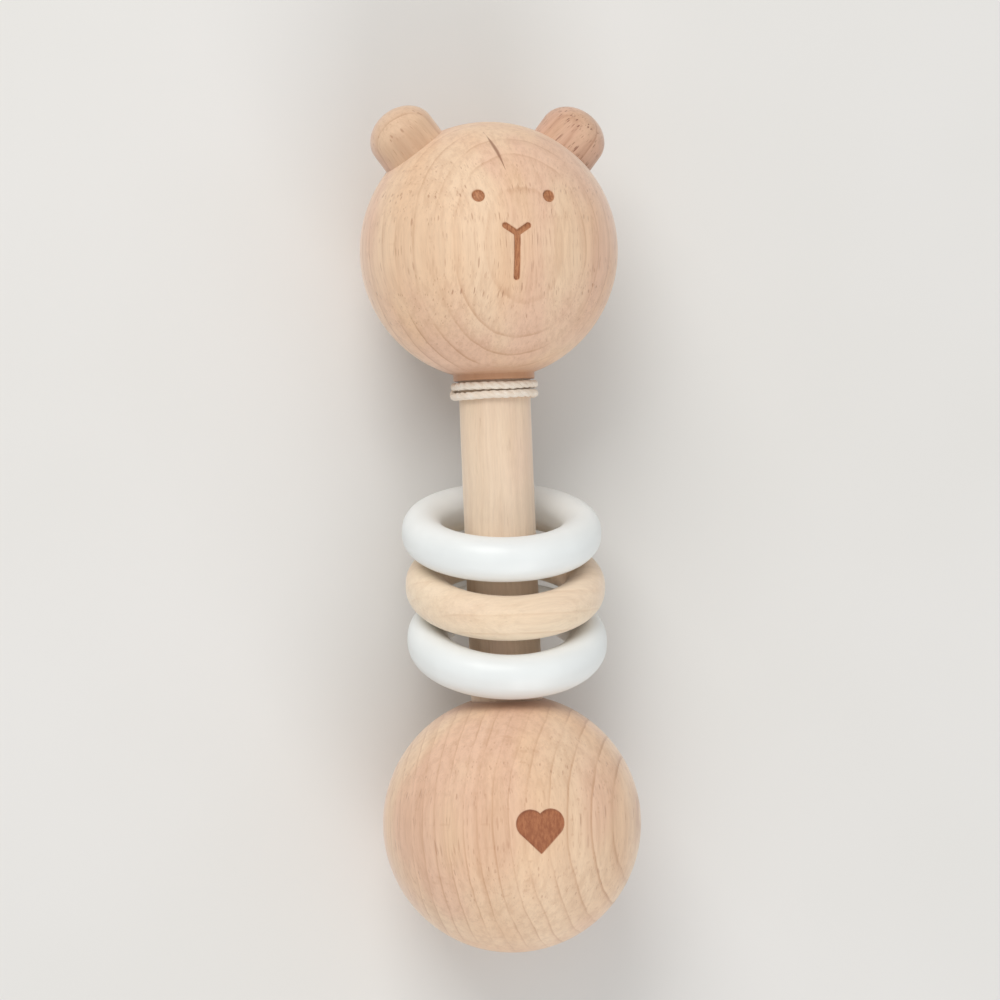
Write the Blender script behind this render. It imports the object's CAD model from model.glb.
"""Looks of a wooden baby rattle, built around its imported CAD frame.

The rattle lies on its back on a pale floor, its head towards +X and its face up. The pieces are given in
millimetres in the frame's own axes, and become metres when a mesh is made. The camera and the lights are
given in metres.
"""

import math

import bpy
import numpy as np
from mathutils import Matrix, Vector


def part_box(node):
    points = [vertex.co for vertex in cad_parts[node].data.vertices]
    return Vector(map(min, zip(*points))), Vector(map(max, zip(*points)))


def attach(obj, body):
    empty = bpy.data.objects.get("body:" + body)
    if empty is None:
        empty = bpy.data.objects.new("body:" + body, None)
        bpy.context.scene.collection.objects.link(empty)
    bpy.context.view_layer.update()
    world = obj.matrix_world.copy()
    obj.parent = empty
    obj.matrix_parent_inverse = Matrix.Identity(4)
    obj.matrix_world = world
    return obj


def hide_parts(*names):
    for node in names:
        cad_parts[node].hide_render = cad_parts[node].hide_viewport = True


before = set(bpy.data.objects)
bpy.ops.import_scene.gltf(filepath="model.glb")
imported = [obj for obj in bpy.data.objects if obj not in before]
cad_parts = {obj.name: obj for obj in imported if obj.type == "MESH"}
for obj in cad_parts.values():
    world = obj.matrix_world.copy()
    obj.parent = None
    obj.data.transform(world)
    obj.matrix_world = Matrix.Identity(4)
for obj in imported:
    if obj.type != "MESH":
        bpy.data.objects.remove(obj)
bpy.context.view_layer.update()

MM = 0.001  # one millimetre, in Blender's metres


def corners(node):
    """A CAD node's lowest and highest corner, in millimetres."""
    low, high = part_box(node)
    return np.array(low) / MM, np.array(high) / MM


# ---------------------------------------------------------------- places and sizes, from the frame
HEAD_HIGH = corners("head")[1]
BALL_LOW = corners("ball")[0]
HANDLE_LOW, HANDLE_HIGH = corners("handle")
BALL_RADIUS = HEAD_HIGH[2] / 2
HEAD_CENTRE = np.array([HEAD_HIGH[0] - BALL_RADIUS, 0.0, BALL_RADIUS])
BALL_CENTRE = np.array([BALL_LOW[0] + BALL_RADIUS, 0.0, BALL_RADIUS])
HANDLE_RADIUS = (HANDLE_HIGH[2] - HANDLE_LOW[2]) / 2
SOCKET_RADIUS = HANDLE_RADIUS + 0.05
SOCKET_FLOOR = 3.5  # distance from a ball's centre to the bottom of its blind hole
SOCKET_RIM = 0.3  # radius of the broken edge around the blind hole

COLLAR_RADIUS = 7.55
COLLAR_REACH = 24.05  # distance from the head's centre to the end of its collar
COLLAR_BEVEL = 0.25

# The carved face, in the head's own plane: x towards the top of the head, y to the left.
HEAD_TURN = math.radians(1.8)
CARVE_DEPTH = 0.5
EYE_AT = (9.0, 6.62)
EYE_RADIUS = 1.2
LINE_RADIUS = 0.625
FORK_AT = (2.0, 0.0)
NOSE_AT = (3.45, 2.15)
MOUTH_AT = (-6.0, 0.0)
HEART_SIDE = 5.4
HEART_AT = -0.8

# Ears: plugs with a domed end, pointing away from the head's centre.
EAR_ANGLE = math.radians(37.2)
EAR_RADIUS = 6.4
EAR_DOME = 5.2
EAR_REACH = 31.95
EAR_SEAT = 15.0
EAR_BEVEL = 0.6

# Rings: a round section with a short flat. Each has its own tilt, turned a little about the handle.
RING_BORE = 22.1
RING_WALL = 7.55
RING_FLAT = 0.8
RING_TILTS = {"ring_bottom": 26.3, "ring_middle": 23.2, "ring_top": 20.0}
RING_HEADING = math.radians(5.1)

# The cord at the neck, placed from the head's centre.
CORD_RADIUS = 0.75
CORD_FIRST = -25.1
CORD_SECOND = -26.8
CORD_GAP = 0.03  # air between the cord and the handle
KNOT_SWING = math.radians(20.0)  # place of the knot, turned about the handle from its underside

# How close the lines of a ball's mesh are, in the carved stretch and elsewhere.
FINE_STEP = 0.13
COARSE_STEP = 1.15


# ---------------------------------------------------------------- mesh helpers
def facing_out(points, faces):
    """The faces of a closed mesh, turned over if they look inwards."""
    thirds = [face[:3] for face in faces]
    thirds += [(face[0], face[2], face[3]) for face in faces if len(face) == 4]
    first, second, third = (points[list(indices)] for indices in zip(*thirds))
    volume = (first * np.cross(second, third)).sum()
    return [face[::-1] for face in faces] if volume < 0 else faces


def make_object(name, points, faces, attributes=None):
    """A smooth mesh object from points in millimetres, with optional point attributes."""
    points = np.asarray(points, float)
    mesh = bpy.data.meshes.new(name)
    mesh.from_pydata((points * MM).tolist(), [], facing_out(points, faces))
    mesh.validate()
    mesh.polygons.foreach_set("use_smooth", np.ones(len(mesh.polygons), bool))
    for key, values in (attributes or {}).items():
        mesh.attributes.new(key, "FLOAT", "POINT").data.foreach_set("value", np.asarray(values, np.float32))
    mesh.update()
    thing = bpy.data.objects.new(name, mesh)
    bpy.context.scene.collection.objects.link(thing)
    return thing


def grid_faces(rows, columns, wrap_rows=False, start=0):
    """Quads of a grid whose columns close on themselves, and whose rows may too."""
    faces = []
    for row in range(rows if wrap_rows else rows - 1):
        upper = start + row * columns
        lower = start + (row + 1) % rows * columns
        for column in range(columns):
            beside = (column + 1) % columns
            faces.append((upper + column, lower + column, lower + beside, upper + beside))
    return faces


def closed_tube(grid, start=0):
    """Points and faces of a tube whose two ends are closed by fans to their middles."""
    rows, columns = grid.shape[:2]
    points = np.concatenate([grid.reshape(-1, 3), grid[:1].mean(1), grid[-1:].mean(1)])
    faces = grid_faces(rows, columns, start=start)
    first, last = start + rows * columns, start + rows * columns + 1
    tail = start + (rows - 1) * columns
    for column in range(columns):
        beside = (column + 1) % columns
        faces.append((first, start + column, start + beside))
        faces.append((last, tail + beside, tail + column))
    return points, faces


def turned(profile, angles):
    """A grid of points: a profile of (along X, radius) turned about the X axis, from +Z towards +Y."""
    profile = np.asarray(profile)
    along = np.repeat(profile[:, :1], len(angles), axis=1)
    radii = profile[:, 1]
    return np.stack([along, np.outer(radii, np.sin(angles)), np.outer(radii, np.cos(angles))], -1)


def full_turn(count):
    """Evenly spaced angles of one full turn."""
    return np.linspace(0, 2 * math.pi, count + 1)[:-1]


def graded(low, high, fine_low, fine_high, fine_step, coarse_step):
    """Values from low to high, close together between fine_low and fine_high."""
    stretches = (
        (low, fine_low, coarse_step),
        (fine_low, fine_high, fine_step),
        (fine_high, high, coarse_step),
    )
    parts = [np.linspace(a, b, max(2, math.ceil((b - a) / step) + 1))[:-1] for a, b, step in stretches]
    return np.concatenate(parts + [[high]])


def smoothstep(low, high, values):
    """0 below low, 1 above high, and a smooth rise between them."""
    share = np.clip((values - low) / (high - low), 0, 1)
    return share * share * (3 - 2 * share)


def place(thing, matrix):
    """Moves a mesh's own points, so that its object stays at the frame's origin."""
    thing.data.transform(matrix)
    return thing


def finish_piece(thing, body, nodes, material):
    """Gives a piece its material, ties it to its body and lets it stand for its CAD nodes."""
    thing.data.materials.append(material)
    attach(thing, body)
    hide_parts(*nodes)
    return thing


# ---------------------------------------------------------------- carved outlines
def to_circle(x, y, centre, radius):
    """Distance to a circle, negative inside."""
    return np.hypot(x - centre[0], y - centre[1]) - radius


def to_line(x, y, start, end, radius):
    """Distance to a line with round ends, negative inside."""
    run_x, run_y = end[0] - start[0], end[1] - start[1]
    share = np.clip(((x - start[0]) * run_x + (y - start[1]) * run_y) / (run_x**2 + run_y**2), 0, 1)
    return np.hypot(x - start[0] - share * run_x, y - start[1] - share * run_y) - radius


def to_face(x, y):
    """Distance to the carved face: two eyes and a forked line for nose and mouth."""
    found = to_line(x, y, FORK_AT, MOUTH_AT, LINE_RADIUS)
    for side in (-1, 1):
        found = np.minimum(found, to_line(x, y, FORK_AT, (NOSE_AT[0], side * NOSE_AT[1]), LINE_RADIUS))
        found = np.minimum(found, to_circle(x, y, (EYE_AT[0], side * EYE_AT[1]), EYE_RADIUS))
    return found


def to_heart(x, y):
    """Distance to the carved heart: a square on its corner with a round lobe on each upper side."""
    across = np.abs((x - HEART_AT) + y) / math.sqrt(2) - HEART_SIDE / 2
    along = np.abs((x - HEART_AT) - y) / math.sqrt(2) - HEART_SIDE / 2
    found = np.maximum(across, along)
    lobe = HEART_SIDE * math.sqrt(2) / 4
    for side in (-1, 1):
        found = np.minimum(found, to_circle(x, y, (HEART_AT + lobe, side * lobe), HEART_SIDE / 2))
    return found


# ---------------------------------------------------------------- wooden pieces
def ball_profile(alphas, collar):
    """The outline of a ball from its closed side to the bottom of its socket, which looks towards -X."""
    profile = [(math.cos(a) * BALL_RADIUS, math.sin(a) * BALL_RADIUS) for a in alphas]
    mouth_x = profile[-1][0]
    if collar:
        mouth_x = -COLLAR_REACH
        straight = np.linspace(profile[-1][0] - 0.2, mouth_x + COLLAR_BEVEL, 4)
        profile += [(x, COLLAR_RADIUS) for x in straight]
        profile.append((mouth_x + 0.07, COLLAR_RADIUS - 0.07))  # the middle of the bevel, rounded out
        profile.append((mouth_x, COLLAR_RADIUS - COLLAR_BEVEL))
    for turn_share in np.linspace(0.0 if collar else 0.2, 1.0, 6):
        angle = turn_share * math.pi / 2
        inward = SOCKET_RIM * (1 - math.cos(angle))
        profile.append((mouth_x + inward, SOCKET_RADIUS + SOCKET_RIM * (1 - math.sin(angle))))
    profile.append((-SOCKET_FLOOR - 8.0, SOCKET_RADIUS))
    profile.append((-SOCKET_FLOOR, SOCKET_RADIUS))
    return profile


def carved_ball(name, centre, socket_side, outline, fine_x, fine_y, turn=0.0, collar=False):
    """A ball with the handle's socket on one side of X, and an outline carved into its upper side.

    The mesh is turned about X. Its lines are close together where it is carved.
    """
    fine, coarse = FINE_STEP / BALL_RADIUS, COARSE_STEP / BALL_RADIUS
    flip = -socket_side
    polar = sorted(math.acos(np.clip(flip * x / BALL_RADIUS, -1, 1)) for x in fine_x)
    mouth_radius = COLLAR_RADIUS if collar else SOCKET_RADIUS + SOCKET_RIM
    opening = math.pi - math.asin(mouth_radius / BALL_RADIUS)
    alphas = graded(0.012, opening, polar[0], polar[1], fine, coarse)
    side_angle = math.asin(fine_y / BALL_RADIUS / math.sin(polar[0]))
    phis = graded(-math.pi, math.pi, -side_angle, side_angle, fine, coarse * 1.3)[:-1]
    grid = turned(ball_profile(alphas, collar), phis)
    grid[..., 0] *= flip
    face_x = grid[..., 0] * math.cos(turn) - grid[..., 1] * math.sin(turn)
    face_y = grid[..., 0] * math.sin(turn) + grid[..., 1] * math.cos(turn)
    inside = 1 - smoothstep(-0.2, 0.04, outline(face_x, face_y))
    on_surface = np.linalg.norm(grid, axis=-1) > BALL_RADIUS * 0.98
    carved = inside * (grid[..., 2] > 0) * on_surface
    grid *= (1 - carved * CARVE_DEPTH / BALL_RADIUS)[..., None]
    points, faces = closed_tube(grid)
    return make_object(name, points + centre, faces, {"carved": np.append(carved.ravel(), [0, 0])})


def ear(name, side):
    """A round plug with a domed end, sunk into the head."""
    shaft_end = EAR_REACH - EAR_DOME
    profile = [(EAR_SEAT, EAR_RADIUS - EAR_BEVEL), (EAR_SEAT + EAR_BEVEL, EAR_RADIUS)]
    profile += [(x, EAR_RADIUS) for x in np.linspace(EAR_SEAT + 2.0, shaft_end - 0.8, 9)]
    for angle in np.linspace(0, math.pi / 2, 26)[:-1]:
        profile.append((shaft_end + EAR_DOME * math.sin(angle), EAR_RADIUS * math.cos(angle)))
    profile.append((EAR_REACH - 0.004, 0.25))
    points, faces = closed_tube(turned(profile, full_turn(96)))
    thing = make_object(name, points, faces)
    heading = Matrix.Rotation(side * EAR_ANGLE - HEAD_TURN, 4, "Z")
    return place(thing, Matrix.Translation(Vector(HEAD_CENTRE * MM)) @ heading)


def handle(name):
    """The round rod, with bevelled ends inside the balls."""
    low, high = HANDLE_LOW[0], HANDLE_HIGH[0]
    bevel = 1.0
    profile = [(low, HANDLE_RADIUS - bevel), (low + bevel, HANDLE_RADIUS)]
    profile += [(x, HANDLE_RADIUS) for x in np.linspace(low + 2 * bevel, high - 2 * bevel, 60)]
    profile += [(high - bevel, HANDLE_RADIUS), (high, HANDLE_RADIUS - bevel)]
    points, faces = closed_tube(turned(profile, full_turn(96)))
    return make_object(name, points + np.array([0, 0, BALL_RADIUS]), faces)


def ring(name, node):
    """One ring, turned about its own axis, then tilted as it hangs."""
    low, high = corners(node)
    centre = (low + high) / 2
    middle = (RING_BORE + RING_WALL) / 2
    section = []
    for end in (1, -1):
        for angle in np.linspace(-math.pi / 2, math.pi / 2, 25):
            across = RING_WALL / 2 * math.sin(angle) * end
            along = end * RING_FLAT / 2 + RING_WALL / 2 * math.cos(angle) * end
            section.append((along, middle + across))
    grid = turned(section, full_turn(192))
    thing = make_object(name, grid.reshape(-1, 3), grid_faces(*grid.shape[:2], wrap_rows=True))
    tilt = Matrix.Rotation(-math.radians(RING_TILTS[node]), 4, "Y")
    lean = Matrix.Rotation(-RING_HEADING, 4, "X") @ tilt
    return place(thing, Matrix.Translation(Vector(centre * MM)) @ lean)


# ---------------------------------------------------------------- cord
def frames_along(path):
    """Two unit vectors across a path at each of its points, turning as little as they can."""
    tangents = np.gradient(path, axis=0)
    tangents /= np.linalg.norm(tangents, axis=1, keepdims=True)
    across = np.cross(tangents[0], [0.3, 0.5, 0.8])
    firsts = []
    for tangent in tangents:
        across = across - tangent * (across @ tangent)
        across = across / np.linalg.norm(across)
        firsts.append(across)
    firsts = np.array(firsts)
    return firsts, np.cross(tangents, firsts)


def tube(path, radii, sides=10):
    """A closed tube along a path, with its own radius at each point."""
    first, second = frames_along(path)
    angles = full_turn(sides)[:, None]
    circles = first[:, None] * np.cos(angles) + second[:, None] * np.sin(angles)
    return path[:, None] + circles * np.asarray(radii)[:, None, None]


def twisted_cord(name, path, pitch=5.0, plies=3, loosen=0.0):
    """A cord of several plies twisted around a path. loosen opens the plies towards both ends."""
    first, second = frames_along(path)
    runs = np.linalg.norm(np.diff(path, axis=0), axis=1)
    length = np.concatenate([[0], np.cumsum(runs)])
    ply_radius = CORD_RADIUS * 0.62
    end_share = np.minimum(length, length[-1] - length)
    spread = (CORD_RADIUS - ply_radius) * (1 + loosen * np.exp(-end_share / 1.1))
    points, faces = [], []
    for ply in range(plies):
        angle = 2 * math.pi * (length / pitch + ply / plies)
        offset = first * np.cos(angle)[:, None] + second * np.sin(angle)[:, None]
        thickness = ply_radius * (1 + 0.05 * np.sin(length * 2.3 + ply * 2))
        grid = tube(path + offset * spread[:, None], thickness)
        more_points, more_faces = closed_tube(grid, start=sum(len(p) for p in points))
        points.append(more_points)
        faces += more_faces
    return make_object(name, np.concatenate(points), faces)


def around_neck(angle, along, radius):
    """A point around the neck. The angle is counted from the knot at the back, first towards -Y."""
    turn = angle + KNOT_SWING
    return np.stack([along, -radius * np.sin(turn), BALL_RADIUS - radius * np.cos(turn)], -1)


def neck_cord():
    """Two turns of cord that cross each other at the side, with both ends going into the knot."""
    angle = np.linspace(0.0, 4 * math.pi, 520)
    under = 1.6 * math.pi  # where the cord first changes its place
    over = under + 2 * math.pi  # where it comes back, and crosses over itself
    change = 0.42
    share = smoothstep(under - change, under + change, angle)
    share = share - smoothstep(over - change, over + change, angle)
    along = HEAD_CENTRE[0] + CORD_FIRST + share * (CORD_SECOND - CORD_FIRST)
    along = along + 0.07 * np.sin(angle * 1.7) + 0.04 * np.sin(angle * 4.1)
    bulge = 0.6 * np.exp(-(((angle - over) / 0.34) ** 2))
    radius = HANDLE_RADIUS + CORD_GAP + CORD_RADIUS + bulge
    return twisted_cord("neck_cord_twist", around_neck(angle, along, radius))


def cord_knot():
    """An overhand knot at the back of the neck, with two short frayed tails that lie around the handle."""
    steps = np.linspace(-1.0, 1.0, 260)
    turn = steps * math.pi * 0.95  # a trefoil, left open at its ends for the tails
    along = 0.44 * (np.cos(turn) - 1.1 * np.cos(2 * turn))
    around = 0.79 * (np.sin(turn) + 1.1 * np.sin(2 * turn))
    away = -0.67 * np.sin(3 * turn)
    tail = smoothstep(0.72, 1.0, np.abs(steps))
    around = around + 2.2 * tail * np.sign(steps)
    away = away + 0.9 * tail
    path = np.stack([along, -around, -away], -1)
    lean = np.array(Matrix.Rotation(-KNOT_SWING, 3, "X"))
    middle = HEAD_CENTRE[0] + (CORD_FIRST + CORD_SECOND) / 2
    centre = around_neck(np.array(0.0), np.array(middle), np.array(HANDLE_RADIUS + 3.0))
    return twisted_cord("cord_knot_tied", path @ lean.T + centre, loosen=0.9)


# ---------------------------------------------------------------- materials
class Nodes:
    """Adds nodes to one material. An input takes a number, a tuple, or another node's output."""

    def __init__(self, name):
        self.material = bpy.data.materials.new(name)
        self.material.use_nodes = True
        self.tree = self.material.node_tree
        self.shader = self.tree.nodes["Principled BSDF"]

    def set(self, node, inputs):
        for key, value in inputs.items():
            if isinstance(value, bpy.types.NodeSocket):
                self.tree.links.new(value, node.inputs[key])
            else:
                node.inputs[key].default_value = value
        return node

    def add(self, kind, inputs, **settings):
        node = self.tree.nodes.new(kind)
        for key, value in settings.items():
            setattr(node, key, value)
        return self.set(node, inputs)

    def math(self, operation, *values, clamp=False):
        node = self.add("ShaderNodeMath", dict(enumerate(values)), operation=operation, use_clamp=clamp)
        return node.outputs[0]

    def vector(self, operation, *values):
        return self.add("ShaderNodeVectorMath", dict(enumerate(values)), operation=operation).outputs[0]

    def measure(self, operation, *values):
        """A vector operation whose answer is one number."""
        node = self.add("ShaderNodeVectorMath", dict(enumerate(values)), operation=operation)
        return node.outputs["Value"]

    def join(self, x, y, z):
        return self.add("ShaderNodeCombineXYZ", {0: x, 1: y, 2: z}).outputs[0]

    def place(self, centre=(0.0, 0.0, 0.0)):
        """The place on the piece in millimetres, counted from a centre."""
        texture = self.add("ShaderNodeTexCoord", {}).outputs["Object"]
        local = self.vector("SUBTRACT", texture, tuple(np.array(centre) * MM))
        return self.vector("MULTIPLY", local, (1 / MM, 1 / MM, 1 / MM))

    def noise(self, vector, scale, detail=2.0, roughness=0.5):
        inputs = {"Vector": vector, "Scale": scale, "Detail": detail, "Roughness": roughness}
        return self.add("ShaderNodeTexNoise", inputs).outputs["Fac"]

    def noise_along(self, value, scale, detail):
        """Noise that depends on one number only."""
        inputs = {"W": value, "Scale": scale, "Detail": detail}
        return self.add("ShaderNodeTexNoise", inputs, noise_dimensions="1D").outputs["Fac"]

    def spread(self, value, low, high, to_low=0.0, to_high=1.0):
        inputs = {0: value, 1: low, 2: high, 3: to_low, 4: to_high}
        return self.add("ShaderNodeMapRange", inputs, interpolation_type="SMOOTHSTEP").outputs[0]

    def mix(self, share, first, second, blend="MIX"):
        node = self.add("ShaderNodeMix", {}, data_type="RGBA", blend_type=blend)
        self.set(node, {0: share, 6: first, 7: second})
        return node.outputs[2]

    def bump(self, height, distance, strength=1.0):
        inputs = {"Height": height, "Distance": distance, "Strength": strength}
        return self.add("ShaderNodeBump", inputs).outputs[0]


def colour(red, green, blue):
    """Screen values from 0 to 255, as the linear colour that shaders take."""
    values = [v / 255 for v in (red, green, blue)]
    return (*(v / 12.92 if v <= 0.04045 else ((v + 0.055) / 1.055) ** 2.4 for v in values), 1.0)


STREAK_TONE = colour(138, 92, 66)
LINE_PHASE = 0.94  # the share of a growth ring's width at which its growth line is darkest


def flecks_of(n, places, size, share):
    """Short dark flecks of uneven strength: size is their spacing along the grain, around and outward."""
    cells = n.vector("MULTIPLY", places, tuple(1 / length for length in size))
    cell = n.add("ShaderNodeTexVoronoi", {"Vector": cells, "Scale": 1.0})
    chances = n.add("ShaderNodeSeparateColor", {0: cell.outputs["Color"]}).outputs
    reach = n.spread(chances[0], 1 - share, 1.0, 0.0, 0.48)
    inside = n.spread(n.math("SUBTRACT", reach, cell.outputs["Distance"]), 0.0, 0.22)
    return n.math("MULTIPLY", inside, n.spread(chances[1], 0.0, 1.0, 0.25, 1.0))


def dark_streak(n, local, points):
    """A thin mineral streak that follows a few points, fading out at both ends."""
    nearest = 100.0
    for start, end in zip(points, points[1:]):
        run = np.subtract(end, start)
        from_start = n.vector("SUBTRACT", local, start)
        share = n.measure("DOT_PRODUCT", from_start, tuple(run))
        share = n.math("DIVIDE", share, float(run @ run), clamp=True)
        run_so_far = n.vector("SCALE", tuple(run))
        n.set(run_so_far.node, {"Scale": share})
        nearest = n.math("MINIMUM", nearest, n.measure("DISTANCE", from_start, run_so_far))
    along = n.measure("DOT_PRODUCT", local, (1.0, 0.0, 0.0))
    low, high = points[-1][0], points[0][0]
    middle = low + (high - low) * 0.55
    taper = n.math("MULTIPLY", n.spread(along, low, middle), n.spread(along, high, middle))
    width = n.math("MULTIPLY_ADD", taper, 0.42, 0.10)
    return n.math("MULTIPLY", n.spread(n.math("DIVIDE", nearest, width), 1.0, 0.2), 0.8)


class Board:
    """Where each place of a piece lies in the board that it was turned from, in millimetres.

    local is the place from the piece's centre, run its way along the grain and radius its distance from the
    tree's middle. places joins run, the way around the tree's middle and radius. slow is the same with its
    first part shortened, for changes that follow the grain, and bent the same with swaying fibres.
    """

    def __init__(self, n, centre, grain, pith, seed):
        grain = np.array(grain, float) / np.linalg.norm(grain)
        pith = np.array(pith, float)
        pith -= grain * (pith @ grain)
        self.pith_distance = float(np.linalg.norm(pith))
        towards = pith / self.pith_distance
        axes = (grain, np.cross(towards, grain), towards)
        self.local = n.place(centre)
        self.run, across, depth = (n.measure("DOT_PRODUCT", self.local, tuple(axis)) for axis in axes)
        gap = n.math("SUBTRACT", self.pith_distance, depth)
        squares = n.math("ADD", n.math("MULTIPLY", across, across), n.math("MULTIPLY", gap, gap))
        self.radius = n.math("SQRT", squares)
        arc = n.math("MULTIPLY", n.math("ARCTAN2", across, gap), self.pith_distance)
        shift = (seed * 13.7, seed * 37.9, 0.0)
        self.places = n.vector("ADD", n.join(self.run, arc, self.radius), shift)
        self.slow = n.vector("MULTIPLY", self.places, (0.4, 1.0, 1.0))
        sway = n.math("MULTIPLY_ADD", n.noise(self.places, 0.05, 1.0), 3.2, -1.6)
        self.bent = n.vector("ADD", self.places, n.join(0.0, sway, sway))


def growth_rings(n, board, ring_width, first_ring):
    """How many growth rings a place lies outside the first growth line, with waves and uneven widths."""
    wander = n.math("MULTIPLY_ADD", n.noise(board.slow, 0.06, 2.0), 1.8, -0.9)
    shiver = n.math("MULTIPLY_ADD", n.noise(board.slow, 0.45, 2.0), 0.4, -0.2)
    outward = n.math("SUBTRACT", board.radius, board.pith_distance - first_ring)
    outward = n.math("ADD", outward, n.math("ADD", wander, shiver))
    turns = n.math("DIVIDE", outward, ring_width)
    return n.math("MULTIPLY_ADD", n.noise_along(turns, 0.55, 0.0), 0.35, turns)


def slow_tones(n, board, pale, warm, rosy):
    """Slow changes between three tones of the same wood."""
    tone = n.mix(n.spread(n.noise(board.slow, 0.05, 2.0), 0.35, 0.65), pale, warm)
    elsewhere = n.vector("ADD", board.slow, (71.0, 13.0, 29.0))
    return n.mix(n.spread(n.noise(elsewhere, 0.06, 2.0), 0.42, 0.66, 0.0, 0.8), tone, rosy)


def with_growth_lines(n, board, turns, tone, dark, line, bold, bands):
    """Adds a band of its own tone to each growth ring, and a soft dark line where it ends."""
    phase = n.math("FRACT", n.math("ADD", turns, 19.55))
    after = n.spread(phase, 1.0, LINE_PHASE)
    late = n.math("MULTIPLY", n.spread(phase, 0.4, LINE_PHASE), after)
    thin = n.math("MULTIPLY", n.spread(phase, 0.82, LINE_PHASE), after)
    faint = n.spread(n.noise(board.slow, 0.11, 1.0), 0.34, 0.66, 0.2, 1.0)
    bold_side = tuple(np.array(bold, float) / np.linalg.norm(bold))
    bolder = n.spread(n.measure("DOT_PRODUCT", board.local, bold_side), 5.0, 20.0, line, line * 1.9)
    strength = n.math("MULTIPLY", faint, bolder)
    tone = n.mix(n.spread(n.noise_along(turns, 0.9, 1.0), 0.42, 0.68, 0.0, bands), tone, dark)
    tone = n.mix(n.math("MULTIPLY", n.math("MULTIPLY", late, strength), 0.4), tone, dark)
    return n.mix(n.math("MULTIPLY", thin, strength), tone, dark)


def with_fibres(n, board, tone, dark, fibres):
    """Adds soft streaks along the grain, and the light and shade of fine fibres."""
    streaks = n.noise(n.vector("MULTIPLY", board.bent, (0.035, 1.0, 1.0)), 0.85, 3.0, 0.6)
    tone = n.mix(n.spread(streaks, 0.42, 0.7, 0.0, 0.2), tone, dark)
    shade = n.spread(fibres, 0.25, 0.75, 0.955, 1.03)
    shade = n.math("MULTIPLY", shade, n.spread(streaks, 0.3, 0.6, 1.02, 0.99))
    return n.mix(1.0, tone, n.join(shade, shade, shade), "MULTIPLY")


def with_flecks(n, board, tone, dark, fleck_tone, flecks, fine, dense, deep, rays, neck):
    """Adds rays and two sizes of fleck. Gives the tone, and the large flecks for the relief."""
    small = flecks_of(n, board.bent, (2.6, 0.25, 0.25 * deep), 0.6)
    large = flecks_of(n, n.vector("ADD", board.bent, (31.0, 17.0, 53.0)), (4.6, 0.48, 0.48 * deep), dense)
    ray = flecks_of(n, n.vector("ADD", board.bent, (5.0, 67.0, 41.0)), (0.9, 0.7, 5.0), 0.45)
    if neck:  # the end grain of a ball shows fewer flecks
        slant = n.spread(n.math("ABSOLUTE", board.run), 9.0, 21.0, 1.0, 0.25)
        small, large = n.math("MULTIPLY", small, slant), n.math("MULTIPLY", large, slant)
    tone = n.mix(n.math("MULTIPLY", ray, rays), tone, dark)
    tone = n.mix(n.math("MULTIPLY", small, fine), tone, fleck_tone)
    return n.mix(n.math("MULTIPLY", large, flecks), tone, fleck_tone), large


def with_carving(n, board, tone, height, burnt):
    """Burns and roughens the wood where the mesh is marked as carved. Gives the tone and the relief."""
    mask = n.add("ShaderNodeAttribute", {}, attribute_name="carved").outputs["Fac"]
    char = n.noise(n.vector("MULTIPLY", board.places, (0.35, 1.0, 1.0)), 2.2, 3.0, 0.65)
    char_tone = n.mix(n.spread(char, 0.35, 0.65), *(colour(*tone) for tone in burnt))
    tone = n.mix(n.spread(mask, 0.1, 0.7), tone, char_tone)
    return tone, n.math("MULTIPLY_ADD", n.math("MULTIPLY", char, mask), 1.2, height)


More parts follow.
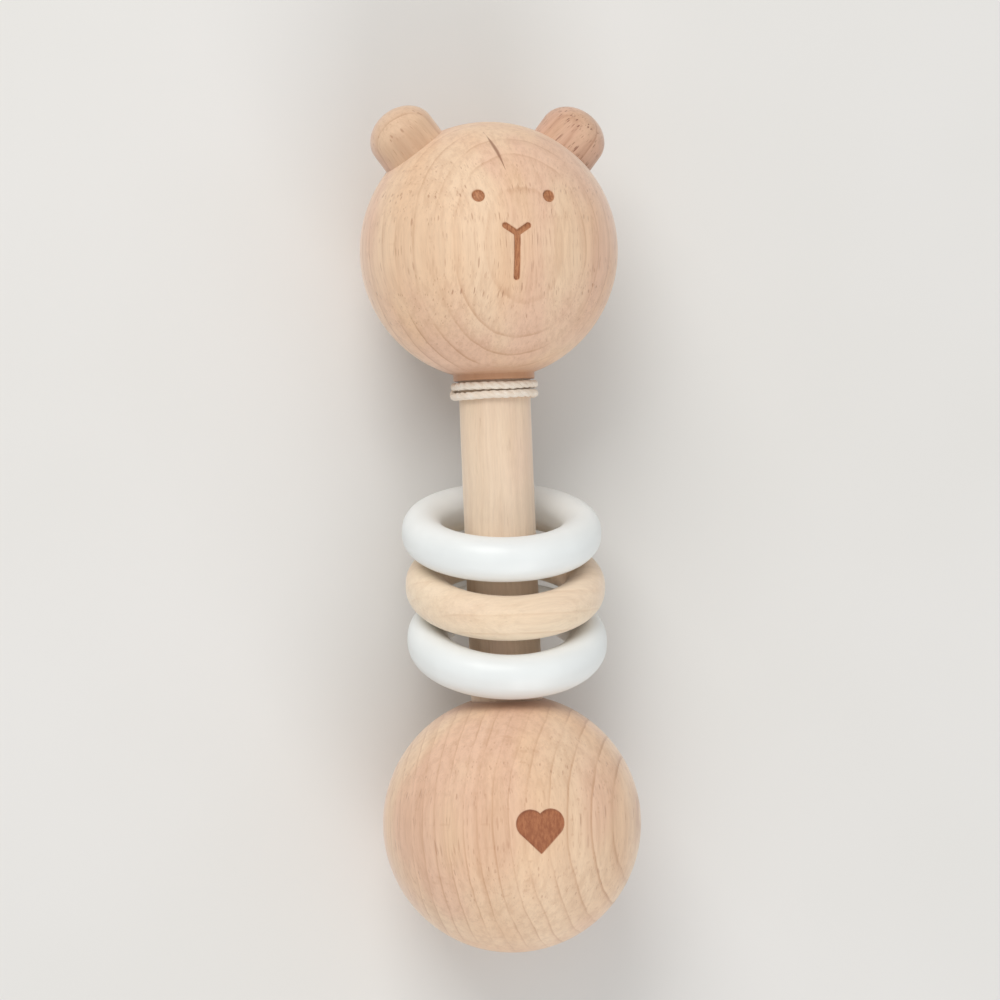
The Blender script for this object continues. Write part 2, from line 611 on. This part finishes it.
def wood(name, centre, grain, pith, tones, ring_width, first_ring, line, flecks, fine, dense=0.45, deep=1.0,
         rays=0.12, bands=0.1, bold=(0, 0, 1), neck=0, burnt=None, streak=None, seed=0.0):
    """Sanded wood: growth rings around the tree's middle, fine fibres, and the short dark flecks of beech.

    centre is the middle of the piece in millimetres, grain the direction of its fibres, and pith the way
    from the centre to the tree's middle, in millimetres. tones are the pale, warm and rosy wood, the growth
    lines and the flecks. first_ring is the depth of one growth line towards the pith, counted from the
    centre. line, flecks, fine, rays and bands are the strengths of the growth lines, the large and the small
    flecks, the rays and the rings' own tones. The growth lines are bolder on the side that bold points to.
    dense is the share of places with a large fleck, and deep lengthens the flecks outward. neck says at which
    end of a ball, -1 or 1 along the grain, the handle goes in. burnt holds the tones of the ball's carving,
    and streak the points of a streak.
    """
    n = Nodes(name)
    pale, warm, rosy, dark, fleck_tone = (colour(*tone) for tone in tones)
    board = Board(n, centre, grain, pith, seed)
    fibres = n.noise(n.vector("MULTIPLY", board.bent, (0.10, 1.0, 1.0)), 3.0, 3.0, 0.65)
    turns = growth_rings(n, board, ring_width, first_ring)
    tone = slow_tones(n, board, pale, warm, rosy)
    tone = with_growth_lines(n, board, turns, tone, dark, line, bold, bands)
    tone = with_fibres(n, board, tone, dark, fibres)
    if neck:  # the end grain of a ball is darker around the handle
        to_neck = n.math("MULTIPLY", board.run, float(neck))
        tone = n.mix(n.spread(to_neck, 20.5, 23.4, 0.0, 0.85), tone, dark)
    tone, large = with_flecks(n, board, tone, dark, fleck_tone, flecks, fine, dense, deep, rays, neck)
    height = n.math("MULTIPLY_ADD", large, -1.0, n.math("MULTIPLY", fibres, 0.4))
    if streak:
        tone = n.mix(dark_streak(n, board.local, streak), tone, STREAK_TONE)
    if burnt:
        tone, height = with_carving(n, board, tone, height, burnt)
    n.set(n.shader, {
        "Base Color": tone,
        "Roughness": n.spread(fibres, 0.2, 0.8, 0.50, 0.62),
        "Specular IOR Level": 0.35,
        "Sheen Weight": 0.38,
        "Sheen Roughness": 0.45,
        "Normal": n.bump(height, 0.05 * MM),
    })
    return n.material


def lacquer(name, seed):
    """White lacquer on turned wood: a satin gloss, with the faintest unevenness."""
    n = Nodes(name)
    shifted = n.vector("ADD", n.place(), (seed * 31.0, seed * 17.0, seed * 11.0))
    cloud = n.noise(shifted, 0.12, 2.0)
    tone = n.mix(n.spread(cloud, 0.3, 0.7), colour(238, 242, 242), colour(234, 238, 238))
    peel = n.noise(shifted, 0.5, 1.0)
    n.set(n.shader, {
        "Base Color": tone,
        "Roughness": n.spread(cloud, 0.3, 0.7, 0.38, 0.46),
        "Coat Weight": 0.12,
        "Coat Roughness": 0.22,
        "Normal": n.bump(peel, 0.05 * MM, 0.5),
    })
    return n.material


def cotton(name):
    """Unbleached cotton: soft, with fine fibres along each ply."""
    n = Nodes(name)
    local = n.place()
    fibres = n.noise(local, 5.0, 4.0, 0.7)
    tone = n.mix(n.spread(n.noise(local, 0.6, 2.0), 0.3, 0.7), colour(242, 232, 219), colour(234, 220, 203))
    tone = n.mix(n.spread(fibres, 0.4, 0.75, 0.0, 0.3), tone, colour(222, 202, 180))
    n.set(n.shader, {
        "Base Color": tone,
        "Roughness": 0.92,
        "Sheen Weight": 0.3,
        "Sheen Roughness": 0.5,
        "Specular IOR Level": 0.2,
        "Normal": n.bump(fibres, 0.06 * MM),
    })
    return n.material


def floor_material():
    """A plain pale studio floor with the faintest unevenness."""
    n = Nodes("studio_floor")
    cloud = n.noise(n.place(), 0.009, 3.0)
    tone = n.mix(n.spread(cloud, 0.3, 0.7), colour(227, 226, 224), colour(224, 223, 220))
    n.set(n.shader, {"Base Color": tone, "Roughness": 0.85, "Specular IOR Level": 0.15})
    return n.material


# ---------------------------------------------------------------- camera, floor and light
def make_camera():
    """Looks down on the face from a little to one side, with the head at the top of the picture."""
    round_handle = math.radians(12.7)
    lean = math.radians(2.33)
    distance = 1.0
    view_width = 0.186  # what the picture takes in at that distance
    below_head, beside_head = 0.04635, 0.0002  # the middle of the picture, from the head's centre
    towards = Vector((0, math.sin(round_handle), math.cos(round_handle)))
    along = Vector((1, 0, 0))
    side = towards.cross(along) * -1
    right = side * math.cos(lean) - along * math.sin(lean)
    up = side * math.sin(lean) + along * math.cos(lean)
    aim = Vector(HEAD_CENTRE * MM) - along * below_head + side * beside_head
    data = bpy.data.cameras.new("photo_camera")
    data.lens = data.sensor_width * distance / view_width
    data.clip_end = 50.0
    camera = bpy.data.objects.new("photo_camera", data)
    bpy.context.scene.collection.objects.link(camera)
    rotation = Matrix((right, up, towards)).transposed().to_4x4()
    camera.matrix_world = Matrix.Translation(aim + towards * distance) @ rotation
    bpy.context.scene.camera = camera


def make_floor():
    """A wide flat floor under the rattle."""
    half, count = 4000.0, 9
    lines = np.linspace(-half, half, count)
    points = [(x, y, 0.0) for x in lines for y in lines]
    starts = [row * count + column for row in range(count - 1) for column in range(count - 1)]
    faces = [(start, start + count, start + count + 1, start + 1) for start in starts]
    floor = make_object("studio_floor", points, faces)
    floor.data.materials.append(floor_material())


def make_light(name, position, size, power, tone):
    """A square softbox that points at the rattle."""
    data = bpy.data.lights.new(name, "AREA")
    data.shape = "SQUARE"
    data.size = size
    data.energy = power
    data.color = tone
    light = bpy.data.objects.new(name, data)
    bpy.context.scene.collection.objects.link(light)
    light.location = position
    light.rotation_euler = Vector(position).to_track_quat("Z", "Y").to_euler()


def make_studio():
    """A soft key light beyond the head, a softer light beyond the ball, and a pale surround."""
    make_light("key_softbox", (0.82, 0.4, 0.88), 0.7, 8.1, (1.0, 0.985, 0.965))
    make_light("lower_softbox", (-0.95, -0.15, 0.7), 0.8, 5.0, (0.985, 0.99, 1.0))
    world = bpy.data.worlds.new("studio")
    bpy.context.scene.world = world
    world.use_nodes = True
    tree = world.node_tree
    background = tree.nodes["Background"]
    background.inputs[0].default_value = (1.0, 0.995, 0.985, 1.0)
    # a little darker at the horizon, so that the far floor runs into it
    height = tree.nodes.new("ShaderNodeSeparateXYZ")
    tree.links.new(tree.nodes.new("ShaderNodeTexCoord").outputs["Generated"], height.inputs[0])
    rise = tree.nodes.new("ShaderNodeMapRange")
    tree.links.new(height.outputs["Z"], rise.inputs[0])
    for name, value in (("From Max", 0.4), ("To Min", 0.42), ("To Max", 0.55)):
        rise.inputs[name].default_value = value
    tree.links.new(rise.outputs[0], background.inputs[1])
    bpy.context.scene.view_settings.view_transform = "Standard"


# ---------------------------------------------------------------- the rattle
# tones of each wood: pale, warm, rosy, growth line, fleck
BEECH = ((235, 205, 174), (230, 190, 153), (229, 189, 163), (186, 136, 100), (166, 112, 82))
PALE_EAR = ((226, 200, 174), (221, 187, 156), (221, 184, 163), (180, 134, 104), (172, 122, 92))
DARK_EAR = ((219, 187, 159), (213, 172, 141), (211, 168, 146), (168, 116, 88), (140, 92, 70))
HANDLE_WOOD = ((234, 212, 187), (230, 205, 177), (229, 201, 179), (204, 170, 140), (190, 150, 120))
NATURAL = ((241, 221, 194), (238, 214, 185), (238, 213, 188), (216, 182, 148), (218, 186, 154))
FACE_BURN = ((190, 133, 92), (157, 100, 65))
HEART_BURN = ((172, 111, 75), (150, 90, 59))
HEAD_STREAK = (
    (21.4, 2.5, 10.5), (19.5, 2.0, 13.8), (17.4, 1.4, 16.5), (15.5, 1.0, 18.3), (13.9, 0.7, 19.5),
)


def build_head():
    """The bear's head with its two ears."""
    head = carved_ball("bear_head", HEAD_CENTRE, -1, to_face, (-7.2, 11.2), 8.4, HEAD_TURN, collar=True)
    look = wood(
        "beech_head", HEAD_CENTRE, (1, 0, 0), (0, -3, 44), BEECH, ring_width=4.2, first_ring=14.3, line=0.3,
        flecks=0.55, fine=0.42, deep=1.6, bold=(-0.75, 0.66, 0), neck=-1, burnt=FACE_BURN, streak=HEAD_STREAK,
    )
    finish_piece(head, "grip_body", ["head"], look)
    look = wood(
        "beech_ear_left", HEAD_CENTRE, (0.8, 0.6, 0.1), (0, -6, -24), PALE_EAR, ring_width=3.4,
        first_ring=-3.5, line=0.5, flecks=0.6, fine=0.42, seed=4.0,
    )
    finish_piece(ear("bear_ear_left", 1), "grip_body", ["ear_left"], look)
    look = wood(
        "beech_ear_right", HEAD_CENTRE, (0.68, -0.73, 0.1), (0, 20, 14), DARK_EAR, ring_width=3.4,
        first_ring=-3.5, line=0.4, flecks=0.9, fine=0.85, dense=0.95, seed=2.0,
    )
    finish_piece(ear("bear_ear_right", -1), "grip_body", ["ear_right"], look)


def build_handle_and_ball():
    """The handle, and the plain ball at its other end."""
    look = wood(
        "beech_handle", (0, 0, BALL_RADIUS), (1, 0, 0), (0, 25, 40), HANDLE_WOOD, ring_width=3.0,
        first_ring=0.0, line=0.14, flecks=0.14, fine=0.1, rays=0.0, seed=5.0,
    )
    finish_piece(handle("handle_rod"), "grip_body", ["handle"], look)
    ball = carved_ball("end_ball", BALL_CENTRE, 1, to_heart, (-5.4, 4.6), 5.2)
    look = wood(
        "beech_ball", BALL_CENTRE, (1, 0, 0), (0, 66, -24), BEECH, ring_width=2.9, first_ring=0.0, line=0.36,
        flecks=0.4, fine=0.3, rays=0.2, bands=0.16, bold=(0, -1, 0), neck=1, burnt=HEART_BURN, seed=8.0,
    )
    finish_piece(ball, "grip_body", ["ball"], look)


def build_rings():
    """Two white rings, with a natural one between them."""
    for seed, node in enumerate(("ring_bottom", "ring_top")):
        look = lacquer("lacquer_" + node, seed)
        finish_piece(ring(node + "_turned", node), node + "_body", [node], look)
    low, high = corners("ring_middle")
    look = wood(
        "maple_ring", (low + high) / 2, (0, 1, 0.1), (-60, 0, 12), NATURAL, ring_width=3.4, first_ring=0.0,
        line=0.2, flecks=0.12, fine=0.1, rays=0.0, bands=0.12, seed=12.0,
    )
    middle = ring("ring_middle_turned", "ring_middle")
    finish_piece(middle, "ring_middle_body", ["ring_middle"], look)


def build_cord():
    """The cord around the neck, and its knot."""
    look = cotton("cotton")
    finish_piece(neck_cord(), "grip_body", ["neck_cord"], look)
    finish_piece(cord_knot(), "grip_body", ["cord_knot"], look)


make_camera()
build_head()
build_handle_and_ball()
build_rings()
build_cord()
make_floor()
make_studio()
